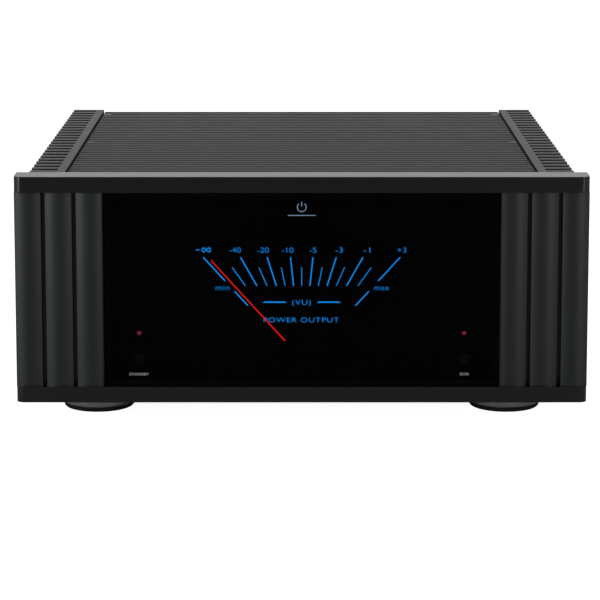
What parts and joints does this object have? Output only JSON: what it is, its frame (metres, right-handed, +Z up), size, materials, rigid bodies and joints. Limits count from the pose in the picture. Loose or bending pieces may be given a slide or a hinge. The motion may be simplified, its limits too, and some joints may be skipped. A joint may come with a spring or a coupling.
{
  "type": "integrated amplifier",
  "caption": "Stereo amplifier with a ribbed lid, finned heat sinks on both sides, fluted front pillars and a moving-needle output meter behind dark glass.",
  "frame": {"origin": "on the ground under the middle of the whole box, terminals included", "axes": "+Z up, -Y the front, +X to the right as seen from the front"},
  "size_m": [0.43, 0.435, 0.187],
  "materials": {
    "bar_anodised": "fine brushed black anodising",
    "pillar_anodised": "matt bead-blasted black anodising",
    "window_glass": "polished dark glass",
    "gasket_foam": "matt foam",
    "plate_steel": "satin powder coat",
    "dial_black": "matt printed film",
    "light_box_white": "matt",
    "movement_steel": "satin",
    "needle_red": "matt red paint",
    "button_black": "satin",
    "lamp_red": "clear tinted",
    "board_green": "solder-mask gloss",
    "lid_anodised": "bead-blasted anodising on ribs",
    "screw_black": "black oxide",
    "rail_aluminium": "mill finish",
    "sink_anodised": "extruded black anodising",
    "rear_anodised": "satin black anodising",
    "foot_metal": "turned, dark anodised",
    "foot_rubber": "moulded",
    "bright_steel": "zinc plated",
    "winding": "varnished tape",
    "capacitor_sleeve": "shrink sleeve",
    "component_black": "moulded epoxy",
    "inlet_black": "moulded",
    "socket_nickel": "satin nickel",
    "gold_plate": "gold plated",
    "lever_chrome": "polished",
    "cap_black": "moulded",
    "cap_red": "moulded"
  },
  "bodies": {
    "root": {"fascia_top_bar": "bar_anodised", "fascia_bottom_bar": "bar_anodised", "left_pillar": "pillar_anodised", "right_pillar": "pillar_anodised", "front_window": "window_glass", "window_gasket": "gasket_foam", "front_subpanel": "plate_steel", "meter_dial": "dial_black", "meter_light_box": "light_box_white", "meter_movement": "movement_steel", "pivot_cover": "dial_black", "status_lamps": "lamp_red", "button_boards": "board_green", "lid_front_panel": "lid_anodised", "lid_rear_panel": "lid_anodised", "lid_screws": "screw_black", "side_rails": "rail_aluminium", "lid_cross_rail": "rail_aluminium", "left_heatsink": "sink_anodised", "right_heatsink": "sink_anodised", "bottom_plate": "plate_steel", "rear_panel": "rear_anodised", "chassis_screws": "screw_black", "foot_cups": "foot_metal", "foot_pads": "foot_rubber", "foot_screws": "bright_steel", "toroidal_transformer": "winding", "transformer_pad": "foot_rubber", "transformer_clamp": "bright_steel", "transformer_bolt": "bright_steel", "filter_capacitors": "capacitor_sleeve", "power_supply_board": "board_green", "bridge_rectifiers": "component_black", "left_amplifier_board": "board_green", "right_amplifier_board": "board_green", "output_transistors": "component_black", "input_board": "board_green", "protection_board": "board_green", "mains_inlet": "inlet_black", "xlr_sockets": "socket_nickel", "phono_sockets": "gold_plate", "input_toggle_base": "socket_nickel", "trigger_jacks": "socket_nickel", "speaker_posts": "gold_plate"},
    "needle": {"meter_needle": "needle_red"},
    "standby_button": {"standby_button": "button_black"},
    "dim_button": {"dim_button": "button_black"},
    "power_rocker": {"power_rocker": "inlet_black"},
    "fuse_drawer": {"fuse_drawer": "inlet_black"},
    "left_xlr_latch": {"left_xlr_latch": "socket_nickel"},
    "right_xlr_latch": {"right_xlr_latch": "socket_nickel"},
    "toggle_lever": {"input_toggle_lever": "lever_chrome"},
    "post_washer_1": {"post_washer_1": "gold_plate"},
    "post_cap_1": {"post_cap_1": "cap_black"},
    "post_washer_2": {"post_washer_2": "gold_plate"},
    "post_cap_2": {"post_cap_2": "cap_red"},
    "post_washer_3": {"post_washer_3": "gold_plate"},
    "post_cap_3": {"post_cap_3": "cap_black"},
    "post_washer_4": {"post_washer_4": "gold_plate"},
    "post_cap_4": {"post_cap_4": "cap_red"}
  },
  "joints": [
    {"name": "needle_swing", "type": "hinge", "parent": "root", "child": "needle", "pos_m": [0, -0.2069, 0.046], "axis": [0, 1, 0], "range_deg": [0, 84], "stiffness_Nm_per_rad": 0.0002},
    {"name": "standby_press", "type": "slide", "parent": "root", "child": "standby_button", "axis": [0, 1, 0], "range_m": [0, 0.0012], "stiffness_N_per_m": 300, "springref_m": -0.0003},
    {"name": "dim_press", "type": "slide", "parent": "root", "child": "dim_button", "axis": [0, 1, 0], "range_m": [0, 0.0012], "stiffness_N_per_m": 300, "springref_m": -0.0003},
    {"name": "power_rocker_tilt", "type": "hinge", "parent": "root", "child": "power_rocker", "pos_m": [-0.0265, 0.1874, 0.042], "axis": [-1, 0, 0], "range_deg": [0, 20]},
    {"name": "fuse_drawer_pull", "type": "slide", "parent": "root", "child": "fuse_drawer", "axis": [0, 1, 0], "range_m": [0, 0.021]},
    {"name": "left_latch_press", "type": "slide", "parent": "root", "child": "left_xlr_latch", "axis": [0, -1, 0], "range_m": [0, 0.0012], "stiffness_N_per_m": 300, "springref_m": -0.0003},
    {"name": "right_latch_press", "type": "slide", "parent": "root", "child": "right_xlr_latch", "axis": [0, -1, 0], "range_m": [0, 0.0012], "stiffness_N_per_m": 300, "springref_m": -0.0003},
    {"name": "toggle_flip", "type": "hinge", "parent": "root", "child": "toggle_lever", "pos_m": [0, 0.1935, 0.138], "axis": [1, 0, 0], "range_deg": [0, 24]},
    {"name": "post_lift_1", "type": "slide", "parent": "root", "child": "post_washer_1", "axis": [0, 1, 0], "range_m": [0, 0.00375]},
    {"name": "post_turn_1", "type": "hinge", "parent": "post_washer_1", "child": "post_cap_1", "pos_m": [-0.11953, 0.2025, 0.078], "axis": [0, 1, 0], "range_deg": [0, 1080.5]},
    {"name": "post_lift_2", "type": "slide", "parent": "root", "child": "post_washer_2", "axis": [0, 1, 0], "range_m": [0, 0.00375]},
    {"name": "post_turn_2", "type": "hinge", "parent": "post_washer_2", "child": "post_cap_2", "pos_m": [-0.10047, 0.2025, 0.078], "axis": [0, 1, 0], "range_deg": [0, 1080.5]},
    {"name": "post_lift_3", "type": "slide", "parent": "root", "child": "post_washer_3", "axis": [0, 1, 0], "range_m": [0, 0.00375]},
    {"name": "post_turn_3", "type": "hinge", "parent": "post_washer_3", "child": "post_cap_3", "pos_m": [0.10047, 0.2025, 0.078], "axis": [0, 1, 0], "range_deg": [0, 1080.5]},
    {"name": "post_lift_4", "type": "slide", "parent": "root", "child": "post_washer_4", "axis": [0, 1, 0], "range_m": [0, 0.00375]},
    {"name": "post_turn_4", "type": "hinge", "parent": "post_washer_4", "child": "post_cap_4", "pos_m": [0.11953, 0.2025, 0.078], "axis": [0, 1, 0], "range_deg": [0, 1080.5]}
  ],
  "couplings": [
    {"joint": "post_turn_1", "follows": "post_lift_1", "rad_per_m": 5026.5},
    {"joint": "post_turn_2", "follows": "post_lift_2", "rad_per_m": 5026.5},
    {"joint": "post_turn_3", "follows": "post_lift_3", "rad_per_m": 5026.5},
    {"joint": "post_turn_4", "follows": "post_lift_4", "rad_per_m": 5026.5}
  ]
}
